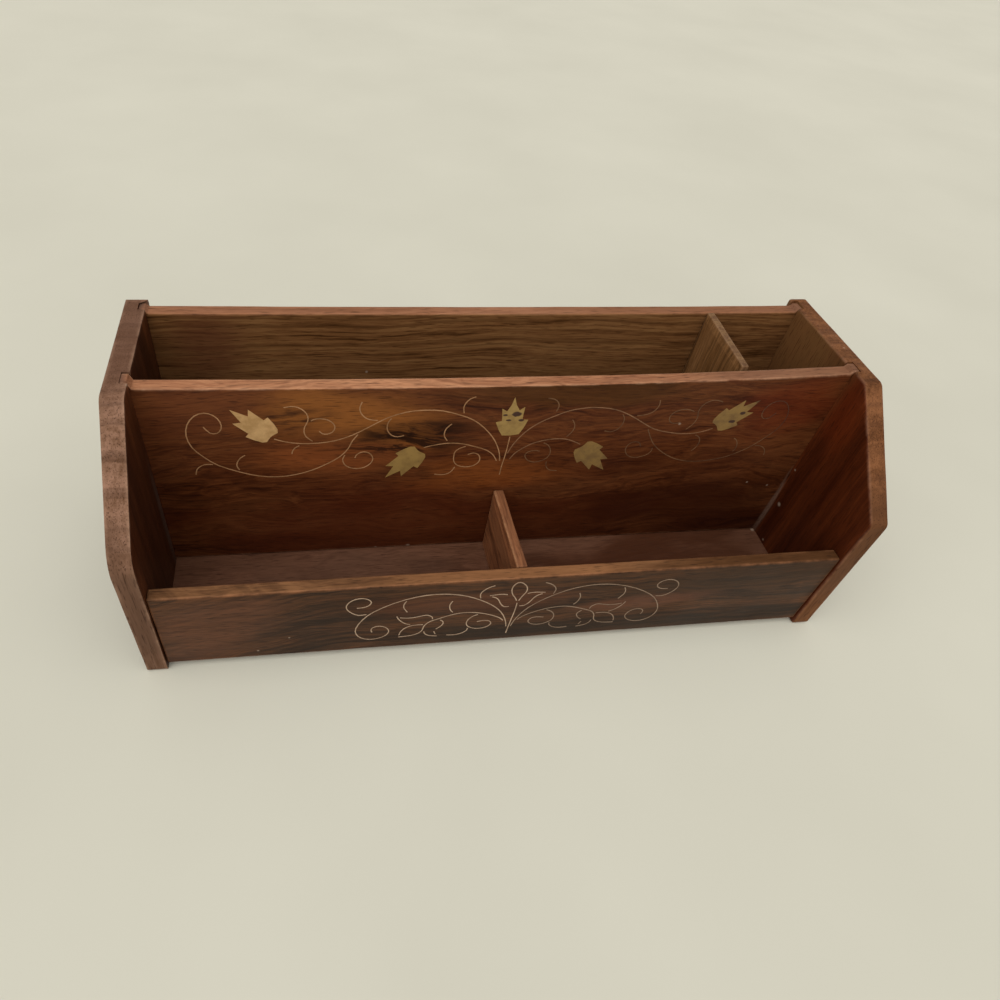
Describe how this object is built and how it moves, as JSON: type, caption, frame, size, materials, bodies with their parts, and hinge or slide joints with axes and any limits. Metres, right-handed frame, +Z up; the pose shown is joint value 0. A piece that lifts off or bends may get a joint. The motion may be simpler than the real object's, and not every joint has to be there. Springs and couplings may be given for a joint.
{
  "type": "desk organizer",
  "caption": "Open wooden desk organizer: a divided tray in front, a letter slot and a pen slot behind, side panels as feet, and brass scroll inlay on two boards.",
  "frame": {"origin": "middle of the footprint, on the ground", "axes": "+X to the right along the width, +Y to the back, +Z up"},
  "size_m": [0.305, 0.1086, 0.1105],
  "materials": {
    "rosewood": "worn satin varnish over reddish brown wood with dark streaks",
    "brass": "dull and lightly tarnished, hammered flush and rubbed down with the board",
    "steel": "plain drawn wire"
  },
  "bodies": {
    "root": {"left_side": "rosewood", "right_side": "rosewood", "back_panel": "rosewood", "middle_panel": "rosewood", "front_panel": "rosewood", "bottom_board": "rosewood", "front_divider": "rosewood", "rear_divider": "rosewood", "left_pins": "steel", "right_pins": "steel", "vine_stem": "brass", "vine_flower": "brass", "left_main_vine": "brass", "right_main_vine": "brass", "left_sweep_vine": "brass", "right_sweep_vine": "brass", "left_branch_vine": "brass", "right_branch_vine": "brass", "left_outer_leaf": "brass", "right_outer_leaf": "brass", "left_inner_leaf": "brass", "right_inner_leaf": "brass", "left_tendrils": "brass", "right_tendrils": "brass", "front_stem": "brass", "front_flower": "brass", "front_left_vine": "brass", "front_right_vine": "brass", "front_left_branch": "brass", "front_right_branch": "brass", "front_left_buds": "brass", "front_right_buds": "brass", "front_left_tendrils": "brass", "front_right_tendrils": "brass"}
  },
  "joints": []
}
